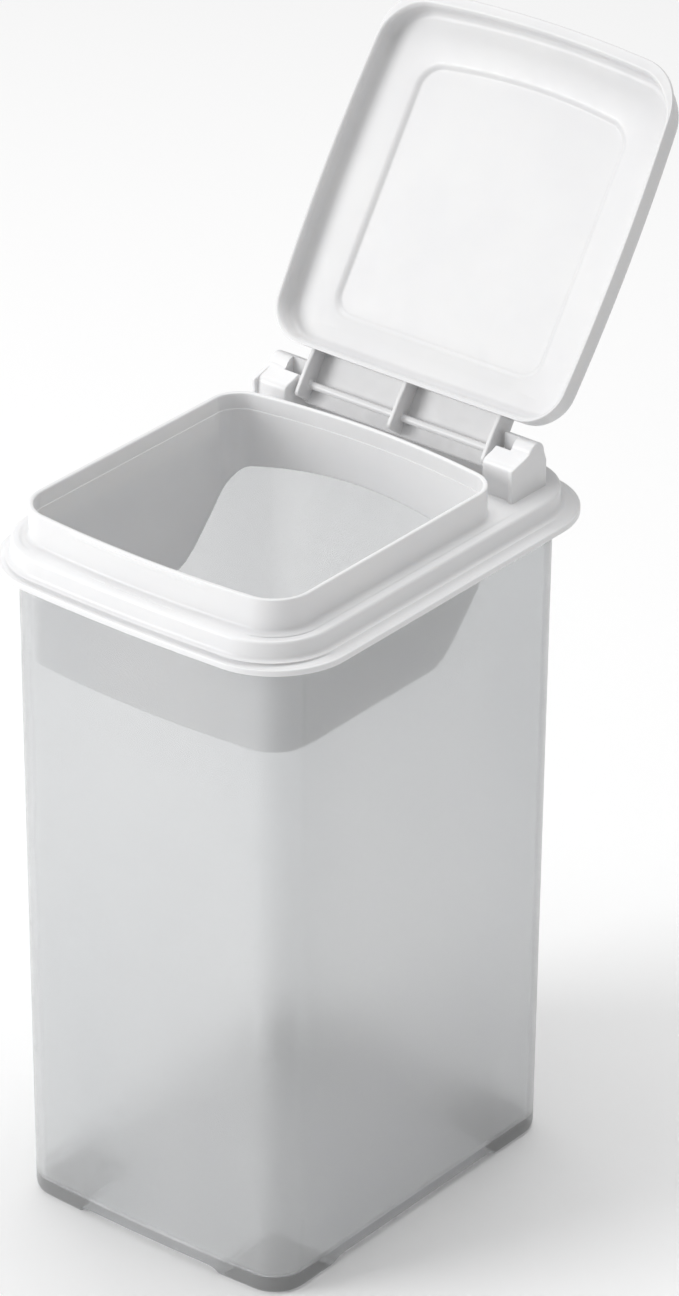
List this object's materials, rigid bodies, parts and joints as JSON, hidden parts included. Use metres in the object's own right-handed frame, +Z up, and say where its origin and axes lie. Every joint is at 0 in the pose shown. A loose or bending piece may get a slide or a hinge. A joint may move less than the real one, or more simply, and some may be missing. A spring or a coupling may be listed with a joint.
{
  "type": "pet food bin",
  "caption": "Tall rectangular frosted bin for pet food, with a white clip-on collar that has a raised pouring neck and chute, and a hinged flip lid standing open.",
  "frame": {"origin": "ground level under the middle of the open bin's bounding box, lid included", "axes": "+X to the right seen from the pouring side, +Y towards the hinge, +Z up; the pouring side faces -Y"},
  "size_m": [0.1358, 0.2206, 0.3743],
  "materials": {
    "frosted_plastic": "translucent frosted polypropylene, natural milky colour",
    "collar_plastic": "white polypropylene, semi-gloss, faint mould texture on the lip",
    "lid_plastic": "white polypropylene, semi-gloss, slightly see-through where thin"
  },
  "bodies": {
    "container": {"container": "frosted_plastic"},
    "collar": {"collar": "collar_plastic"},
    "flip_lid": {"flip_lid": "lid_plastic"}
  },
  "joints": [
    {"name": "collar_lift", "type": "slide", "parent": "container", "child": "collar", "axis": [0, 0, 1], "range_m": [0, 0.07]},
    {"name": "lid_hinge", "type": "hinge", "parent": "collar", "child": "flip_lid", "pos_m": [0, 0.0325, 0.257], "axis": [1, 0, 0], "range_deg": [0, 124.1]}
  ]
}
